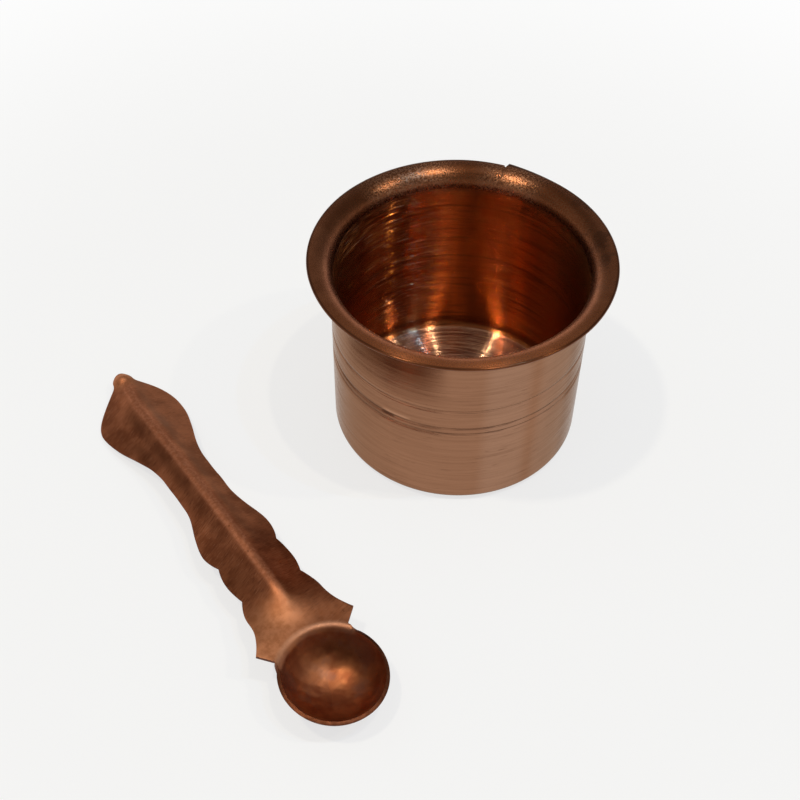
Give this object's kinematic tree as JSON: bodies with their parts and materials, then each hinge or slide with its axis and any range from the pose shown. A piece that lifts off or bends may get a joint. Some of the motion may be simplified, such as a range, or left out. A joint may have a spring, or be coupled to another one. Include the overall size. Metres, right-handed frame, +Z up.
{
  "type": "ritual cup and spoon",
  "caption": "Spun copper panchpatra cup with a straight wall and out-turned lip, beside its pressed copper spoon with a round bowl, scalloped root and ridged, leaf-ended handle.",
  "frame": {"origin": "centre of the cup's base, on the surface that the cup and the spoon rest on", "axes": "+Z up along the cup's axis; +Y along the spoon from its bowl to its tip; the spoon lies on the -X side of the cup"},
  "size_m": [0.1116, 0.1136, 0.0492],
  "materials": {
    "cup_copper": "brushed, with fine lathe lines all round and a darker lip",
    "spoon_copper": "satin, darkened to brown, with the ridge and the bowl's inside rubbed brighter"
  },
  "bodies": {
    "cup": {"cup": "cup_copper"},
    "spoon": {"spoon": "spoon_copper"}
  },
  "joints": [
    {"name": "spoon_lift", "type": "slide", "parent": "cup", "child": "spoon", "axis": [0, 0, 1], "range_m": [0, 0.08]}
  ]
}
